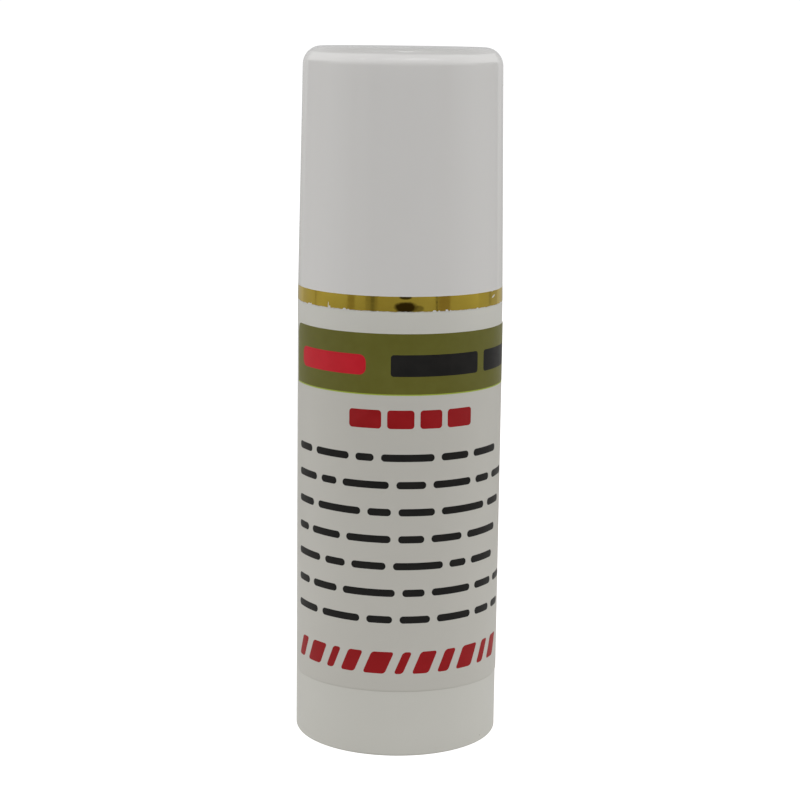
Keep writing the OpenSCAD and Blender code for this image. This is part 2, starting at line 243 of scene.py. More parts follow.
class Mat:
    """Short calls for building one node material."""

    def __init__(self, name):
        self.m = bpy.data.materials.new(name)
        self.m.use_nodes = True
        self.t = self.m.node_tree
        self.n = self.t.nodes
        self.bsdf = self.n["Principled BSDF"]
        self.tc = self.n.new("ShaderNodeTexCoord")

    def put(self, node, socket, value):
        s = node.inputs[socket]
        if isinstance(value, bpy.types.NodeSocket):
            self.t.links.new(value, s)
        else:
            s.default_value = value

    def set(self, **kw):
        for k, v in kw.items():
            self.put(self.bsdf, k.replace("_", " ").replace("  ", " "), v)

    def mapped(self, scale=(1, 1, 1), rot=(0, 0, 0), loc=(0, 0, 0)):
        n = self.n.new("ShaderNodeMapping")
        n.inputs["Scale"].default_value = scale
        n.inputs["Rotation"].default_value = rot
        n.inputs["Location"].default_value = loc
        self.t.links.new(self.tc.outputs["Object"], n.inputs["Vector"])
        return n.outputs["Vector"]

    def noise(self, scale, detail=2.0, rough=0.5, vec=None, distort=0.0):
        n = self.n.new("ShaderNodeTexNoise")
        n.inputs["Scale"].default_value = scale
        n.inputs["Detail"].default_value = detail
        n.inputs["Roughness"].default_value = rough
        n.inputs["Distortion"].default_value = distort
        self.t.links.new(vec if vec is not None else self.tc.outputs["Object"], n.inputs["Vector"])
        return n.outputs["Fac"]

    def voronoi(self, scale, vec=None, feature="F1", out="Distance"):
        n = self.n.new("ShaderNodeTexVoronoi")
        n.feature = feature
        n.inputs["Scale"].default_value = scale
        self.t.links.new(vec if vec is not None else self.tc.outputs["Object"], n.inputs["Vector"])
        return n.outputs[out]

    def ramp(self, fac, stops, interp="LINEAR"):
        n = self.n.new("ShaderNodeValToRGB")
        n.color_ramp.interpolation = interp
        e = n.color_ramp.elements
        while len(e) < len(stops):
            e.new(0.5)
        for x, (p, c) in zip(e, stops):
            x.position = p
            x.color = (*c, 1) if len(c) == 3 else c
        self.t.links.new(fac, n.inputs["Fac"])
        return n.outputs["Color"]

    def span(self, fac, lo, hi, a=0.0, b=1.0):
        n = self.n.new("ShaderNodeMapRange")
        n.clamp = True
        n.inputs["From Min"].default_value = a
        n.inputs["From Max"].default_value = b
        n.inputs["To Min"].default_value = lo
        n.inputs["To Max"].default_value = hi
        self.t.links.new(fac, n.inputs["Value"])
        return n.outputs["Result"]

    def math(self, op, a, b=None):
        n = self.n.new("ShaderNodeMath")
        n.operation = op
        self.put(n, 0, a)
        if b is not None:
            self.put(n, 1, b)
        return n.outputs[0]

    def mix(self, fac, a, b, kind="MIX"):
        n = self.n.new("ShaderNodeMix")
        n.data_type = "RGBA"
        n.blend_type = kind
        self.put(n, 0, fac)
        self.put(n, 6, (*a, 1) if isinstance(a, tuple) and len(a) == 3 else a)
        self.put(n, 7, (*b, 1) if isinstance(b, tuple) and len(b) == 3 else b)
        return n.outputs[2]

    def bump(self, height, strength, distance, normal=None):
        n = self.n.new("ShaderNodeBump")
        n.inputs["Strength"].default_value = strength
        n.inputs["Distance"].default_value = distance
        self.t.links.new(height, n.inputs["Height"])
        if normal is not None:
            self.t.links.new(normal, n.inputs["Normal"])
        return n.outputs["Normal"]

    def axis(self, which):
        n = self.n.new("ShaderNodeSeparateXYZ")
        self.t.links.new(self.tc.outputs["Object"], n.inputs[0])
        return n.outputs[which]


def plastic(name, low, high, rough=(0.3, 0.4), wave=0.0, wave_scale=60.0, grain=0.02,
            grain_scale=2600.0, specks=None, sss=0.0, ior=1.49, flow=0.0):
    """Moulded plastic: slow colour variation, slightly uneven gloss, fine surface grain and,
    on blown pieces, a slow wave of the wall."""
    k = Mat(name)
    tone = k.noise(55, 3, 0.55)
    col = k.ramp(tone, [(0.25, low), (0.75, high)])
    if specks:
        # tiny dust specks under the surface
        d = k.voronoi(240)
        dot = k.span(d, 1.0, 0.0, 0.018, 0.03)
        keep = k.span(k.noise(95, 1), 0.0, 1.0, 0.62, 0.66)
        col = k.mix(k.math("MULTIPLY", dot, keep), col, specks)
    k.set(**{"Base Color": col})
    gloss = k.noise(180, 4, 0.6)
    k.set(Roughness=k.span(gloss, rough[0], rough[1], 0.3, 0.7))
    k.set(IOR=ior)
    nrm = None
    if wave:
        nrm = k.bump(k.noise(wave_scale, 2, 0.5, k.mapped((1, 1, 0.55))), wave, 0.0006)
    if flow:
        # faint flow lines left by moulding
        nrm = k.bump(k.noise(300, 3, 0.6, k.mapped((1, 1, 0.08))), flow, 0.00008, nrm)
    nrm = k.bump(k.noise(grain_scale, 2, 0.5), grain, 0.00005, nrm)
    k.set(Normal=nrm)
    if sss:
        k.set(**{"Subsurface Weight": sss, "Subsurface Scale": 0.0012})
        k.bsdf.inputs["Subsurface Radius"].default_value = (1.0, 0.9, 0.8)
    return k.m


def ink(name, low, high, rough=0.42, mottle=420.0):
    """Printed ink on film: slight mottling of its density and gloss."""
    k = Mat(name)
    f = k.noise(mottle, 4, 0.65)
    g = k.noise(60, 2, 0.5)
    c = k.ramp(k.math("ADD", k.math("MULTIPLY", f, 0.6), k.math("MULTIPLY", g, 0.4)),
               [(0.3, low), (0.7, high)])
    k.set(**{"Base Color": c, "IOR": 1.34})
    k.set(Roughness=k.span(f, rough - 0.05, rough + 0.06, 0.3, 0.7))
    k.set(Normal=k.bump(k.noise(3000, 2, 0.5), 0.03, 0.00003))
    return k.m


M = {}
M["cap"] = plastic("cap_white", (0.770, 0.759, 0.745), (0.780, 0.770, 0.757), rough=(0.06, 0.085),
                   grain=0.006, specks=(0.30, 0.28, 0.25))
M["bottle"] = plastic("bottle_white", (0.670, 0.662, 0.612), (0.682, 0.675, 0.627), rough=(0.30, 0.36),
                      wave=0.05, wave_scale=48, grain=0.015, grain_scale=1800, specks=(0.35, 0.32, 0.28), sss=0.06)
M["pump"] = plastic("pump_white", (0.800, 0.800, 0.790), (0.835, 0.835, 0.827), rough=(0.26, 0.34), grain=0.015)
M["natural"] = plastic("pump_natural", (0.700, 0.715, 0.700), (0.745, 0.760, 0.750), rough=(0.28, 0.38), grain=0.015, sss=0.25)
M["seal"] = plastic("seal_grey", (0.34, 0.34, 0.335), (0.42, 0.42, 0.415), rough=(0.62, 0.78), grain=0.12, grain_scale=1500)
M["film"] = plastic("label_film", (0.610, 0.596, 0.548), (0.622, 0.609, 0.562), rough=(0.30, 0.38),
                    wave=0.03, wave_scale=60, grain=0.012, grain_scale=2400, specks=(0.30, 0.27, 0.20))
M["olive"] = ink("ink_olive", (0.132, 0.126, 0.016), (0.150, 0.146, 0.021), 0.34)
M["lime"] = ink("ink_lime", (0.36, 0.46, 0.05), (0.42, 0.52, 0.07), 0.4)
M["red"] = ink("ink_red", (0.300, 0.000, 0.002), (0.360, 0.001, 0.005), 0.4)
M["scarlet"] = ink("ink_scarlet", (0.560, 0.001, 0.012), (0.640, 0.002, 0.018), 0.4)
M["black"] = ink("ink_black", (0.003, 0.003, 0.003), (0.008, 0.007, 0.006), 0.4)


def gold():
    k = Mat("gold_foil")
    tone = k.noise(130, 3, 0.6)
    col = k.ramp(tone, [(0.3, (0.77, 0.56, 0.076)), (0.7, (0.86, 0.65, 0.100))])
    # painted reflection: dark brown patches on the foil near the front, where the camera and photographer are mirrored,
    # painted into its colour: (x, z, half width, half height) in metres, then strength
    x, y, z = (k.axis(i) for i in range(3))
    # the camera-facing side, the only place the painted reflection goes
    front = k.span(y, 1.0, 0.0, -0.012, -0.008)
    edge = k.noise(900, 3, 0.6)
    for cx, cz, w, h, lo in ((0.00095, 0.07660, 0.00188, 0.00092, 0.97), (0.00085, 0.07825, 0.0010, 0.00034, 0.9),
                             (0.0031, 0.0764, 0.0008, 0.00055, 0.5)):
        dx = k.math("DIVIDE", k.math("SUBTRACT", x, cx), w)
        dz = k.math("DIVIDE", k.math("SUBTRACT", z, cz), h)
        d = k.math("ADD", k.math("MULTIPLY", dx, dx), k.math("MULTIPLY", dz, dz))
        d = k.math("ADD", d, k.math("MULTIPLY", k.math("SUBTRACT", edge, 0.5), 0.9))
        # painted reflection of the camera, darkening the foil's colour on the side facing it
        reflection_mask = k.math("MULTIPLY", k.span(d, lo, 0.0, 0.55, 1.3), front)
        col = k.mix(reflection_mask, col, (0.055, 0.027, 0.003))
    # a small slanting scratch near the right-hand side that bares the white plastic
    dx, dz = k.math("SUBTRACT", x, 0.01556), k.math("SUBTRACT", z, 0.07745)
    along = k.math("DIVIDE", k.math("ADD", dx, dz), 0.00052)
    across = k.math("DIVIDE", k.math("SUBTRACT", dx, dz), 0.00022)
    d = k.math("ADD", k.math("MULTIPLY", along, along), k.math("MULTIPLY", across, across))
    bare = k.math("MULTIPLY", k.span(d, 0.85, 0.0, 0.4, 1.2), k.span(y, 1.0, 0.0, -0.004, -0.002))
    col = k.mix(bare, col, (0.760, 0.750, 0.735))
    k.set(**{"Base Color": col, "Metallic": k.math("SUBTRACT", 1.0, bare), "IOR": 1.5})
    # fine rubbing marks round the foil and a slow ripple
    marks = k.noise(1600, 3, 0.6, k.mapped((0.12, 0.12, 1.0)))
    k.set(Roughness=k.span(marks, 0.07, 0.15, 0.35, 0.7))
    n = k.bump(k.noise(210, 2, 0.5, k.mapped((1, 1, 0.35))), 0.35, 0.00006)
    k.set(Normal=k.bump(marks, 0.05, 0.00002, n))
    return k.m


def steel():
    k = Mat("spring_steel")
    f = k.noise(900, 3, 0.6)
    k.set(**{"Base Color": k.ramp(f, [(0.3, (0.50, 0.50, 0.50)), (0.7, (0.62, 0.62, 0.61))]),
             "Metallic": 1.0, "IOR": 2.5})
    k.set(Roughness=k.span(f, 0.18, 0.32, 0.3, 0.7))
    k.set(Normal=k.bump(k.noise(2500, 2, 0.5), 0.06, 0.00003))
    return k.m


M["gold"] = gold()
M["steel"] = steel()


def dress(o, *mats):
    o.data.materials.clear()
    for m in mats:
        o.data.materials.append(m)
    return o


# ---------------------------------------------------------------- camera

CAM = np.array([0.0, -348.2, 121.7])
pitch, yaw, roll, focal = math.radians(10.34), math.radians(0.03), math.radians(0.71), 2052.0
fw = np.array([math.sin(yaw) * math.cos(pitch), math.cos(yaw) * math.cos(pitch), -math.sin(pitch)])
right0 = np.array([math.cos(yaw), -math.sin(yaw), 0.0])
up0 = np.cross(right0, fw)
right = math.cos(roll) * right0 + math.sin(roll) * up0
up = -math.sin(roll) * right0 + math.cos(roll) * up0

cam_data = bpy.data.cameras.new("camera")
cam_data.sensor_width = 36.0
cam_data.lens = focal * 36.0 / 800.0
cam_data.clip_start = 0.01
cam_data.clip_end = 20.0
cam_data.dof.use_dof = False
cam = bpy.data.objects.new("camera", cam_data)
scene.collection.objects.link(cam)
m = Matrix.Identity(4)
for row in range(3):
    m[row][0], m[row][1], m[row][2], m[row][3] = right[row], up[row], -fw[row], CAM[row] * MM
cam.matrix_world = m
scene.camera = cam
scene.view_settings.view_transform = "Standard"
scene.view_settings.look = "None"


# ---------------------------------------------------------------- overcap

Z_RIM, Z_TOP, Z_ROOF = 75.9, 118.3, 116.7
RIM_R = 17.48
TAN1 = math.tan(math.radians(1.0))
TAN2 = math.tan(math.radians(0.76))


def cap_r(z):
    return RIM_R - (z - Z_RIM) * TAN1


def cap_in(z):
    return 15.75 - (z - Z_RIM) * TAN2


def make_overcap():
    # inside from the middle of the roof to the rim, then outside up to the middle of the top
    path = [(0.0, Z_ROOF), (cap_in(Z_ROOF), Z_ROOF, 2.2), (cap_in(Z_RIM + 0.45), Z_RIM + 0.45, 0.1),
            (cap_in(Z_RIM) + 0.28, Z_RIM - 0.07, 0.12), (cap_r(Z_RIM), Z_RIM - 0.07, 0.05),
            (cap_r(Z_TOP), Z_TOP, 3.1), (1.6, Z_TOP, 0.3), (0.9, Z_TOP - 0.26, 0.3),
            (0.42, Z_TOP - 0.26, 0.1), (0.3, Z_TOP - 0.1, 0.06), (0.0, Z_TOP - 0.08)]
    path = dense(rounded(path, 10), 2.2)
    shell = turned(path, 320)
    parts = [shell]
    for i in range(12):
        a = math.radians(15 + 30 * i)
        # a grip rib: a half-round bar on the inside, its ends run out
        rib = []
        sides = 12
        prof = [(0.06, Z_RIM + 0.5), (0.40, Z_RIM + 0.62), (0.5, Z_RIM + 0.95), (0.5, Z_RIM + 3.9),
                (0.42, Z_RIM + 4.3), (0.06, Z_RIM + 4.5)]
        v = []
        for r, z in prof:
            for s in range(sides):
                t = 2 * PI * s / sides
                x, y = 15.95 + r * math.cos(t), r * math.sin(t)
                v.append((x * math.cos(a) - y * math.sin(a), x * math.sin(a) + y * math.cos(a), z))
        f = []
        for q in range(len(prof) - 1):
            for s in range(sides):
                s1 = (s + 1) % sides
                f.append((q * sides + s, q * sides + s1, (q + 1) * sides + s1, (q + 1) * sides + s))
        f.append(tuple(range(sides))[::-1])
        f.append(tuple((len(prof) - 1) * sides + s for s in range(sides)))
        parts.append((v, f))
    o = piece("overcap_shell", *join(parts), smooth=40)
    dress(o, M["cap"])
    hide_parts("overcap")
    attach(o, "overcap")


make_overcap()


# ---------------------------------------------------------------- foil band

def ripple(a, *terms):
    """A sum of waves round the band: (turns, size, phase)."""
    return sum(s * math.sin(n * a + p) for n, s, p in terms)


def make_foil():
    z0, z1 = 75.84, 78.4
    seg = 1440
    # where the stamp left small bites in the lower edge: angle from the front, half width, depth
    bites = [(-60.0, 1.6, 0.16), (-58.0, 0.7, 0.22), (-42.6, 0.35, 0.95), (-41.6, 0.6, 0.35), (-31.5, 1.1, 0.20),
             (-29.0, 0.5, 0.12), (-12.0, 0.6, 0.07), (3.0, 0.5, 0.06), (18.8, 1.2, 0.20), (21.4, 0.5, 0.14),
             (26.0, 1.0, 0.26), (28.2, 0.45, 0.12), (47.0, 0.8, 0.10), (75.0, 1.4, 0.18), (112.0, 0.9, 0.22),
             (139.0, 1.7, 0.15), (171.0, 0.6, 0.28), (-171.5, 1.2, 0.12), (-133.0, 0.8, 0.20), (-98.0, 1.3, 0.16)]

    def low(f):
        a = math.radians(f)
        z = z0 + 0.07 + ripple(a, (37, 0.014, 0.4), (61, 0.012, 1.9), (113, 0.010, 2.7), (211, 0.008, 0.9))
        for c, w, d in bites:
            x = (f - c + 180) % 360 - 180
            if abs(x) < w:
                z = max(z, z0 + 0.07 + d * (1 - (abs(x) / w) ** 3))
        return z

    def high(f):
        a = math.radians(f)
        z = z1 - 0.02 + ripple(a, (29, 0.005, 1.1), (83, 0.004, 0.3))
        x = (f - 61.5 + 180) % 360 - 180
        if abs(x) < 0.8:
            z -= 0.16 * (1 - abs(x) / 0.8)
        return z

    rows = 5
    verts, faces = [], []
    for k in range(seg):
        f = 360.0 * k / seg
        f = (f + 180) % 360 - 180
        a = -PI / 2 + math.radians(f)
        lo, hi = low(f), high(f)
        for j in range(rows + 1):
            z = lo + (hi - lo) * j / rows
            edge = 0.004 if j in (0, rows) else 0.0
            for r in (cap_r(z) - 0.02, cap_r(z) + 0.010 - edge):
                verts.append((r * math.cos(a), r * math.sin(a), z))
    w = 2 * (rows + 1)
    for k in range(seg):
        a, b = k * w, ((k + 1) % seg) * w
        for j in range(rows):
            i0, i1 = 2 * j, 2 * (j + 1)
            faces.append((a + i0 + 1, b + i0 + 1, b + i1 + 1, a + i1 + 1))
            faces.append((a + i0, a + i1, b + i1, b + i0))
        faces.append((a, b, b + 1, a + 1))
        t = 2 * rows
        faces.append((a + t, a + t + 1, b + t + 1, b + t))
    o = piece("gold_foil_line", verts, faces, smooth=50)
    dress(o, M["gold"])
    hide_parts("gold_band")
    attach(o, "overcap")


make_foil()


# ---------------------------------------------------------------- bottle

PITCH = 3.175
Z_LIP = 94.0


def bottle_move(r, z, a):
    # the screw thread on the outside of the neck
    if r > 8.5 and 83.0 < z < 93.6 and r < 9.2:
        h = thread_height(z, a, 87.5, 1.5, PITCH, 1.0, 0.42)
        return r + 1.05 * h, z
    # mould parting line: a hair of a ridge on both sides of the body
    if r > 17.3 and 2.0 < z < 75.5:
        f = math.degrees(a) + 90 - 7.5
        d = min(abs((f - 90 + 180) % 360 - 180), abs((f + 90 + 180) % 360 - 180))
        if d < 0.7:
            return r + 0.022 * (1 - d / 0.7), z
    return r, z


def make_bottle():
    R = 17.475
    dome = 12.5
    out = [(0.0, 1.5), (4.0, 1.42, 3), (9.0, 0.78, 6), (dome - 0.4, 0.10, 0.8), (dome + 0.6, 0.0, 0.4), (R, 0.0, 0.55),
           (R, 75.8, 0.04), (15.4, 75.8, 0.12), (15.4, 79.8, 0.8), (9.4, 80.95, 0.7), (8.8, 81.7, 0.4),
           (8.8, 94.0, 0.3)]
    inner = [(7.4, 94.0, 0.3), (7.4, 79.85, 0.5), (14.3, 78.65, 0.7), (14.3, 75.2, 0.4), (16.4, 74.7, 1.2),
             (16.4, 1.4, 1.4), (12.6, 1.45, 0.8), (9.0, 2.15, 6), (4.0, 2.8, 3), (0.0, 2.9)]
    path = rounded(out + inner, 8)
    fine = []
    for (r0, z0), (r1, z1) in zip(path, path[1:]):
        step = 3.0
        if abs(r0 - 8.8) < 0.01 and abs(r1 - 8.8) < 0.01:
            step = 0.14
        n = max(1, int(math.ceil(math.hypot(r1 - r0, z1 - z0) / step)))
        fine += [(r0 + (r1 - r0) * k / n, z0 + (z1 - z0) * k / n) for k in range(n)]
    fine.append(path[-1])
    # the pinch-off seam: a low rounded bar across the pushed-up base
    seam_v, seam_f = [], []
    n, half = 40, 8.4
    for i in range(n + 1):
        x = -half + 2 * half * i / n
        lift = 1.5 - 0.72 * (x / 9.0) ** 2
        run = min(1.0, (half - abs(x)) / 1.2 + 0.02)
        w, h = 0.32 * max(0.25, run), 0.28 * run
        for y, z in ((-w, 0.12), (-w * 0.6, -h * 0.75), (0, -h), (w * 0.6, -h * 0.75), (w, 0.12)):
            seam_v.append((x * math.cos(0.13) - y * math.sin(0.13), x * math.sin(0.13) + y * math.cos(0.13), lift + z))
    for i in range(n):
        for j in range(4):
            a = 5 * i + j
            seam_f.append((a, a + 5, a + 6, a + 1))
        seam_f.append((5 * i + 4, 5 * i + 9, 5 * i + 5, 5 * i))
    seam_f.append((0, 1, 2, 3, 4))
    seam_f.append(tuple(5 * n + j for j in (4, 3, 2, 1, 0)))
    shell = turned(fine, 360, move=bottle_move)
    o = piece("bottle_shell", *join([shell, (seam_v, seam_f)]), smooth=42)
    dress(o, M["bottle"])
    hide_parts("bottle")
    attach(o, "bottle")


make_bottle()


# ---------------------------------------------------------------- label and its print

FILM_IN, FILM_OUT, INK_OUT = 17.465, 17.585, 17.597
U0, U1 = -23.45, 28.05
LZ0, LZ1 = 10.9, 72.3
HEAD_Z = 62.25


def make_label():
    v, f = plate(U0, U1, LZ0, LZ1, (1.7, 1.7, 1.7, 1.7), FILM_IN, FILM_OUT, du=0.4, rows=16, arch=0.52, foot=0.36)
    o = piece("label_film", v, f, smooth=40)
    dress(o, M["film"])
    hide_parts("label")
    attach(o, "bottle")

    def printed(name, parts, mat):
        p = piece(name, *join(parts), smooth=40)
        dress(p, mat)
        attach(p, "bottle")

    base = FILM_OUT - 0.012
    printed("print_header", [plate(U0 + 0.03, U1 - 0.03, HEAD_Z, LZ1 - 0.03, (0.0, 0.0, 1.67, 1.67), base, INK_OUT - 0.004, du=0.4)],
            M["olive"])
    printed("print_header_line", [plate(U0 + 0.03, U1 - 0.03, HEAD_Z - 0.2, HEAD_Z + 0.02, 0.0, base, INK_OUT - 0.005, du=0.4)],
            M["lime"])

    over = INK_OUT - 0.006
    red, scarlet, black = [], [], []
    # header: a short red bar and a long dark one
    scarlet.append(plate(-20.4, -5.6, 65.3, 68.7, 1.2, base, INK_OUT, du=0.4))
    black.append(plate(-1.4, 14.6, 65.2, 68.8, 0.5, base, INK_OUT, du=0.4))
    black.append(plate(16.2, 25.6, 65.2, 68.8, 0.5, base, INK_OUT, du=0.4))
    # heading: four red blocks
    for a, b in ((-8.5, -2.9), (-1.9, 2.6), (3.6, 7.4), (8.4, 13.2)):
        red.append(plate(a, b, 56.5, 59.6, 0.55, base, over, du=0.4))
    # seven rows of dashes
    gaps = [
        (4.6, 7.2, 3.2, 9.0, 5.4, 6.8, 4.2),
        (6.0, 3.4, 8.2, 5.0, 7.4, 3.8, 5.6),
        (5.2, 8.8, 4.0, 6.2, 9.4, 4.8, 3.0),
        (3.6, 6.6, 7.8, 4.4, 5.8, 8.4, 4.0),
        (7.0, 4.2, 6.0, 8.6, 3.4, 6.4, 5.2),
        (4.0, 5.6, 9.2, 3.8, 7.6, 5.0, 4.6),
        (6.4, 7.6, 4.4, 5.2, 6.8, 4.2, 3.6),
    ]
    for i, row in enumerate(gaps):
        z = 51.6 - 4.6 * i
        u = -21.6
        for w in row:
            if u + w > 26.2:
                break
            black.append(plate(u, u + w, z - 0.62, z + 0.62, 0.6, base, over, du=0.4))
            u += w + 1.25
    # bottom row: leaning red strokes of a few widths
    u = -20.6
    for i, w in enumerate((2.0, 3.4, 1.5, 2.6, 3.8, 1.5, 2.9, 2.1, 3.4, 1.7, 2.7)):
        if u + w > 26.6:
            break
        red.append(plate(u, u + w, 14.6, 18.4, 0.5, base, over, lean=0.42, du=0.4, rows=5))
        u += w + 1.55
    printed("print_red", red, M["red"])
    printed("print_scarlet", scarlet, M["scarlet"])
    printed("print_black", black, M["black"])


make_label()


# ---------------------------------------------------------------- closure

def closure_move(r, z, a):
    # fine grip ribs round the outside
    if r > 11.1 and 85.6 < z < 96.1:
        t = (a * 60 / (2 * PI) + 0.5) % 1.0 - 0.5
        d = t * 2 * PI * 11.3 / 60
        if abs(d) < 0.3:
            run = min(1.0, (z - 85.6) / 0.3, (96.1 - z) / 0.35)
            return r + run * math.sqrt(max(0.0, 0.09 - d * d)) * 0.985, z
    # the screw thread inside
    if 9.9 < r < 10.2 and 84.9 < z < 92.0:
        return r - 1.05 * thread_height(z, a, 94.0 - 6.5 - PITCH / 2, 1.25, PITCH, 0.80, 0.35), z
    return r, z


def make_closure():
    path = [(5.3, 97.4, 0.12), (5.3, 96.25, 0.12), (10.1, 96.25, 0.4), (10.1, 85.05, 0.2), (10.5, 84.6, 0.1),
            (11.3, 84.6, 0.38), (11.3, 97.4, 1.05), (8.5, 97.4, 0.45), (8.5, 102.6, 0.42), (7.25, 102.6, 0.28),
            (7.25, 97.4, 0.25)]
    fine = []
    path = rounded(path, 8, loop=True)
    for (r0, z0), (r1, z1) in zip(path, path[1:] + path[:1]):
        cuts = {0.0}
        if abs(r0 - 10.1) < 0.01 and abs(r1 - 10.1) < 0.01:
            n = max(1, int(math.ceil(abs(z1 - z0) / 0.16)))
            cuts |= {k / n for k in range(n)}
        if abs(r0 - 11.3) < 0.01 and abs(r1 - 11.3) < 0.01:
            for z in (85.61, 85.7, 85.8, 85.92, 90.0, 95.7, 95.8, 95.92, 96.02, 96.09):
                t = (z - z0) / (z1 - z0)
                if 0 < t < 1:
                    cuts.add(t)
        fine += [(r0 + (r1 - r0) * t, z0 + (z1 - z0) * t) for t in sorted(cuts)]
    o = piece("closure_shell", *turned(fine, 720, loop=True, move=closure_move), smooth=45)
    dress(o, M["pump"])
    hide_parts("closure")
    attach(o, "closure")


make_closure()


# ---------------------------------------------------------------- nozzle insert

def make_nozzle():
    # turned about the spray axis, its outer face towards -Y
    path = rounded([(0.2, 1.6, 0.04), (0.2, 1.98, 0.05), (0.84, 2.3, 0.07), (1.5, 2.3, 0.06), (1.56, 2.24, 0.04),
                    (1.68, 2.24, 0.04), (1.74, 2.3, 0.06), (2.28, 2.3, 0.25), (2.28, 0.0, 0.1), (1.7, 0.0, 0.1),
                    (1.7, 1.6, 0.15)], 6, loop=True)
    v, f = turned(path, 96, loop=True)
    v = [(x, -4.42 - z, 107.8 + y) for x, y, z in v]
    o = piece("nozzle_cup", v, f, smooth=45)
    dress(o, M["pump"])
    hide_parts("nozzle_insert")
    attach(o, "actuator")


make_nozzle()


# ---------------------------------------------------------------- springs

def coil_z(u, turns, length, wire):
    dead = wire * 1.08
    if u < 1:
        return dead * u
    if u > turns - 1:
        return length - wire - dead * (turns - u)
    return dead + (length - wire - 2 * dead) * (u - 1) / (turns - 2)


def make_spring(name, node, body, cr, wire, turns, z0, length):
    seg, sides = 40, 12
    n = int(turns * seg)
    verts, faces = [], []
    for i in range(n + 1):
        u = i / seg
        a = 2 * PI * u
        lo, hi = max(0, u - 0.02), min(turns, u + 0.02)
        rise = (coil_z(hi, turns, length, wire) - coil_z(lo, turns, length, wire)) / (hi - lo) / (2 * PI * cr)
        k = math.sqrt(1 + rise * rise)
        e1 = np.array([math.cos(a), math.sin(a), 0])
        e2 = np.array([math.sin(a) * rise, -math.cos(a) * rise, 1]) / k
        c = np.array([cr * math.cos(a), cr * math.sin(a), z0 + wire / 2 + coil_z(u, turns, length, wire)])
        w = wire / 2 * (0.97 if i in (0, n) else 1.0)
        for j in range(sides):
            t = 2 * PI * j / sides
            verts.append(tuple(c + w * (math.cos(t) * e1 + math.sin(t) * e2)))
    for i in range(n):
        for j in range(sides):
            a, b = sides * i + j, sides * i + (j + 1) % sides
            faces.append((a, b, b + sides, a + sides))
    faces.append(tuple(range(sides))[::-1])
    faces.append(tuple(sides * n + j for j in range(sides)))
    o = piece(name, verts, faces, smooth=50)
    dress(o, M["steel"])
    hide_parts(node)
    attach(o, body)
    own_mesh(o)


make_spring("return_spring_coil", "return_spring", "pump", 2.05, 0.6, 8, 71.02, 11.36)
make_spring("upper_spring_coil", "upper_spring", "stem", 2.25, 0.4, 5, 85.82, 4.36)


# ---------------------------------------------------------------- CAD pieces kept

for name, mat in {"gasket": "seal", "pump_housing": "natural", "turret": "pump",
                  "stem_seal": "seal", "stem": "pump", "piston": "natural", "valve_rod": "natural",
                  "check_ball": "steel", "dip_tube": "natural", "actuator": "pump"}.items():
    dress(nodes[name], M[mat])


# ---------------------------------------------------------------- floor, light

def stage_floor():
    r, n = 4.0, 96
    me = bpy.data.meshes.new("floor")
    vs = [(0, 0, -0.00002)] + [(r * math.cos(2 * PI * k / n), r * math.sin(2 * PI * k / n), -0.00002) for k in range(n)]
    me.from_pydata(vs, [], [(0, 1 + k, 1 + (k + 1) % n) for k in range(n)])
    o = bpy.data.objects.new("floor", me)
    scene.collection.objects.link(o)
    mat = bpy.data.materials.new("floor_pale")
    mat.use_nodes = True
    t = mat.node_tree
    for x in list(t.nodes):
        t.nodes.remove(x)
    out = t.nodes.new("ShaderNodeOutputMaterial")
    diff = t.nodes.new("ShaderNodeBsdfDiffuse")
    diff.inputs["Color"].default_value = (0.5, 0.5, 0.5, 1)
    em = t.nodes.new("ShaderNodeEmission")
    em.inputs["Color"].default_value = (1, 1, 1, 1)
    em.inputs["Strength"].default_value = 0.98
    add = t.nodes.new("ShaderNodeAddShader")
    clear = t.nodes.new("ShaderNodeBsdfTransparent")
    geo = t.nodes.new("ShaderNodeNewGeometry")
    mix = t.nodes.new("ShaderNodeMixShader")
    t.links.new(diff.outputs[0], add.inputs[0])
    t.links.new(em.outputs[0], add.inputs[1])
    t.links.new(geo.outputs["Backfacing"], mix.inputs[0])
    t.links.new(add.outputs[0], mix.inputs[1])
    t.links.new(clear.outputs[0], mix.inputs[2])
    t.links.new(mix.outputs[0], out.inputs[0])
    me.materials.append(mat)
    o.visible_diffuse = False
    o.visible_glossy = False
    o.visible_transmission = False
    o.visible_shadow = False


stage_floor()


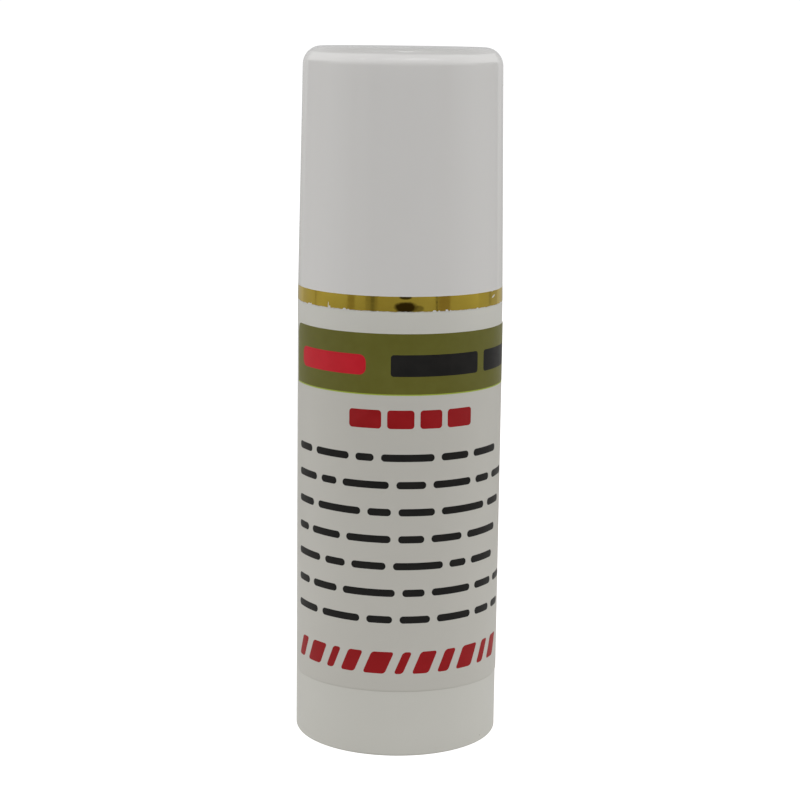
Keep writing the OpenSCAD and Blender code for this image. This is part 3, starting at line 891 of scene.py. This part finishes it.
def world_light():
    w = bpy.data.worlds.new("studio")
    scene.world = w
    w.use_nodes = True
    t = w.node_tree
    for x in list(t.nodes):
        t.nodes.remove(x)
    out = t.nodes.new("ShaderNodeOutputWorld")
    tc = t.nodes.new("ShaderNodeTexCoord")
    sep = t.nodes.new("ShaderNodeSeparateXYZ")
    t.links.new(tc.outputs["Generated"], sep.inputs[0])

    def ramp(sock, stops):
        n = t.nodes.new("ShaderNodeValToRGB")
        e = n.color_ramp.elements
        while len(e) < len(stops):
            e.new(0.5)
        for x, (p, v) in zip(e, stops):
            x.position = p
            x.color = (v[0], v[1], v[2], 1) if isinstance(v, tuple) else (v, v, v, 1)
        t.links.new(sock, n.inputs[0])
        return n.outputs["Color"]

    def unit(sock):
        n = t.nodes.new("ShaderNodeMapRange")
        n.inputs["From Min"].default_value = -1
        n.inputs["From Max"].default_value = 1
        t.links.new(sock, n.inputs["Value"])
        return n.outputs["Result"]

    def mul(a, b):
        n = t.nodes.new("ShaderNodeMix")
        n.data_type = "RGBA"
        n.blend_type = "MULTIPLY"
        n.inputs[0].default_value = 1.0
        t.links.new(a, n.inputs[6])
        t.links.new(b, n.inputs[7])
        return n.outputs[2]

    # height: table below, walls, dark towards the roof of the tent
    height = ramp(unit(sep.outputs["Z"]), [(0.0, (0.50, 0.488, 0.455)), (0.42, (0.56, 0.548, 0.515)), (0.50, 1.0),
                                           (0.71, 1.0), (0.90, 0.12), (1.0, 0.08)])
    # front to back: the open front is darker than the side walls and the backdrop
    depth = ramp(unit(sep.outputs["Y"]), [(0.0, 0.40), (0.12, 0.46), (0.3, 0.50), (0.5, 0.56), (0.85, 0.80), (0.95, 0.68), (1.0, 0.64)])
    light = mul(height, depth)
    bg = t.nodes.new("ShaderNodeBackground")
    bg.inputs["Strength"].default_value = 0.90
    t.links.new(light, bg.inputs["Color"])
    white = t.nodes.new("ShaderNodeBackground")
    white.inputs["Color"].default_value = (1, 1, 1, 1)
    white.inputs["Strength"].default_value = 1.05
    path = t.nodes.new("ShaderNodeLightPath")
    mix = t.nodes.new("ShaderNodeMixShader")
    t.links.new(path.outputs["Is Camera Ray"], mix.inputs[0])
    t.links.new(bg.outputs[0], mix.inputs[1])
    t.links.new(white.outputs[0], mix.inputs[2])
    t.links.new(mix.outputs[0], out.inputs[0])


world_light()


def card(name, az, el, dist, width, height, value, tilt=0.0):
    """A flat studio panel seen only in gloss: az from the front towards +X, aimed at the middle of the object."""
    a, e = math.radians(az), math.radians(el)
    c = Vector((0, 0, 0.075))
    d = Vector((math.sin(a) * math.cos(e), -math.cos(a) * math.cos(e), math.sin(e)))
    pos = c + d * dist
    me = bpy.data.meshes.new(name)
    w, h = width / 2, height / 2
    me.from_pydata([(-w, -h, 0), (w, -h, 0), (w, h, 0), (-w, h, 0)], [], [(0, 1, 2, 3)])
    o = bpy.data.objects.new(name, me)
    o.matrix_world = Matrix.Translation(pos) @ d.to_track_quat("Z", "Y").to_matrix().to_4x4() @ Matrix.Rotation(tilt, 4, "Z")
    scene.collection.objects.link(o)
    mat = bpy.data.materials.new(name)
    mat.use_nodes = True
    t = mat.node_tree
    for x in list(t.nodes):
        t.nodes.remove(x)
    out = t.nodes.new("ShaderNodeOutputMaterial")
    em = t.nodes.new("ShaderNodeEmission")
    em.inputs["Color"].default_value = (*value, 1) if isinstance(value, tuple) else (value, value, value, 1)
    em.inputs["Strength"].default_value = 1.0
    t.links.new(em.outputs[0], out.inputs[0])
    me.materials.append(mat)
    o.visible_camera = False
    o.visible_diffuse = False
    o.visible_shadow = False
    o.visible_transmission = False
    return o


# dark gaps between the light tent's panels and its open front
card("gap_left", -30.3, 0, 1.0, 0.075, 1.4, (0.125, 0.125, 0.12))
card("gap_left_soft", -55.4, 0, 1.0, 0.15, 1.4, (0.21, 0.19, 0.16))
card("gap_far_left", -108.0, 0, 1.0, 0.03, 1.4, (0.22, 0.20, 0.17))
card("gap_far_right", 119.5, 0, 1.0, 0.09, 1.4, (0.25, 0.245, 0.24))
card("gap_right", 40.6, 0, 1.0, 0.038, 1.4, (0.10, 0.095, 0.09))
card("left_wide", -31.5, 0, 1.01, 0.24, 1.4, (0.205, 0.20, 0.195))
card("right_back", 118.0, 0, 1.01, 0.78, 1.4, (0.335, 0.33, 0.325))
card("left_back", -118.0, 0, 1.01, 0.78, 1.4, (0.37, 0.365, 0.36))
card("right_soft", 50.0, 0, 1.01, 0.25, 1.4, (0.21, 0.18, 0.165))


def lamp_row():
    """A row of small lamps above the front of the light tent, seen only as gloss on the cap's rounded edge."""
    for name, level, at in (("lamps", 12.0, (1.2, 3.1, 5.0, 8.8, 10.7, 12.6, 16.4)),
                            ("lamps_faint", 8.0, (-22.6, -21.2, -6.6, -4.6, -2.6, 6.9, 14.5, 18.3, 20.2, 22.1))):
        verts, faces = [], []
        for az in at:
            t = math.radians(2 * az)
            c = Vector((0.60 * math.sin(t), -0.42 * math.cos(t), 0.118 + 0.42))
            side = Vector((math.cos(t), math.sin(t), 0)) * 0.006
            rise = Vector((0, 0.04, 0.035))
            k = len(verts)
            for i, j in ((-1, -1), (1, -1), (1, 1), (-1, 1)):
                verts.append(tuple(c + side * i + rise * j))
            faces.append((k, k + 1, k + 2, k + 3))
        glow(name, verts, faces, level)


def glow(name, verts, faces, level):
    me = bpy.data.meshes.new(name)
    me.from_pydata(verts, [], faces)
    o = bpy.data.objects.new(name, me)
    scene.collection.objects.link(o)
    mat = bpy.data.materials.new(name)
    mat.use_nodes = True
    t = mat.node_tree
    for x in list(t.nodes):
        t.nodes.remove(x)
    out = t.nodes.new("ShaderNodeOutputMaterial")
    em = t.nodes.new("ShaderNodeEmission")
    em.inputs["Strength"].default_value = level
    t.links.new(em.outputs[0], out.inputs[0])
    me.materials.append(mat)
    o.visible_camera = False
    o.visible_diffuse = False
    o.visible_shadow = False
    o.visible_transmission = False
    return o


lamp_row()
# a small lamp over the back of the cap
glow("lamp_top", [(-0.022, 0.07, 0.70), (0.050, 0.07, 0.70), (0.050, 0.14, 0.70), (-0.022, 0.14, 0.70)], [(0, 1, 2, 3)], 5.5)
def tent_roof():
    """The bright upper cloth of the light tent, seen only in the gloss of the cap's rounded edge: the part of
    it that a point of the edge mirrors, for turns of 0 to 72 degrees and tilts of 12 to 38.5 degrees."""
    for name, lo, hi, turn, level in (("tent_roof", 12.0, 38.5, 72, 2.6), ("tent_roof_low", 6.5, 12.0, 46, 1.35)):
        verts, faces = [], []
        n, m = 48, 8
        for i in range(n + 1):
            a = math.radians(turn * (2 * i / n - 1))
            for j in range(m + 1):
                e = math.radians(lo + (hi - lo) * j / m)
                c = 2 * math.cos(a) * math.cos(e)
                verts.append((0.8 * c * math.cos(e) * math.sin(a), 0.8 * (1 - c * math.cos(a) * math.cos(e)),
                              0.118 + 0.8 * c * math.sin(e)))
        for i in range(n):
            for j in range(m):
                k = i * (m + 1) + j
                faces.append((k, k + 1, k + m + 2, k + m + 1))
        o = glow(name, verts, faces, level)
        # dimmer towards the back
        t = o.data.materials[0].node_tree
        tc, sep, mr = (t.nodes.new("ShaderNode" + x) for x in ("TexCoord", "SeparateXYZ", "MapRange"))
        mr.inputs["From Min"].default_value = 0.0
        mr.inputs["From Max"].default_value = 0.62
        mr.inputs["To Min"].default_value = level
        mr.inputs["To Max"].default_value = level * 0.42
        t.links.new(tc.outputs["Object"], sep.inputs[0])
        t.links.new(sep.outputs["Y"], mr.inputs["Value"])
        t.links.new(mr.outputs[0], next(x for x in t.nodes if x.type == "EMISSION").inputs["Strength"])


tent_roof()


def bounce():
    """Light coming back from the table close to the object."""
    r, n = 0.13, 48
    me = bpy.data.meshes.new("bounce")
    vs = [(0, 0, -0.0005)] + [(r * math.cos(2 * PI * k / n), r * math.sin(2 * PI * k / n), -0.0005) for k in range(n)]
    me.from_pydata(vs, [], [(0, 1 + k, 1 + (k + 1) % n) for k in range(n)])
    o = bpy.data.objects.new("bounce", me)
    scene.collection.objects.link(o)
    mat = bpy.data.materials.new("bounce")
    mat.use_nodes = True
    t = mat.node_tree
    for x in list(t.nodes):
        t.nodes.remove(x)
    out = t.nodes.new("ShaderNodeOutputMaterial")
    em = t.nodes.new("ShaderNodeEmission")
    em.inputs["Color"].default_value = (1.0, 0.985, 0.95, 1)
    em.inputs["Strength"].default_value = 0.50
    t.links.new(em.outputs[0], out.inputs[0])
    me.materials.append(mat)
    o.visible_camera = False
    o.visible_shadow = False
    o.visible_transmission = False


bounce()


def area(name, az, el, dist, sx, sy, power, color=(1, 1, 1)):
    a, e = math.radians(az), math.radians(el)
    d = Vector((math.sin(a) * math.cos(e), -math.cos(a) * math.cos(e), math.sin(e)))
    data = bpy.data.lights.new(name, "AREA")
    data.shape = "RECTANGLE"
    data.size, data.size_y = sx, sy
    data.energy = power
    data.color = color
    o = bpy.data.objects.new(name, data)
    o.matrix_world = Matrix.Translation(Vector((0, 0, 0.09)) + d * dist) @ d.to_track_quat("Z", "Y").to_matrix().to_4x4()
    scene.collection.objects.link(o)
    return o


top = area("top_panel", 0, 56, 0.8, 1.66, 0.71, 4.7)
top.visible_glossy = False
for side in (-1, 1):
    wall = area("wall_light", side * 92, 8, 0.9, 1.5, 0.9, 2.95)
    wall.visible_glossy = False
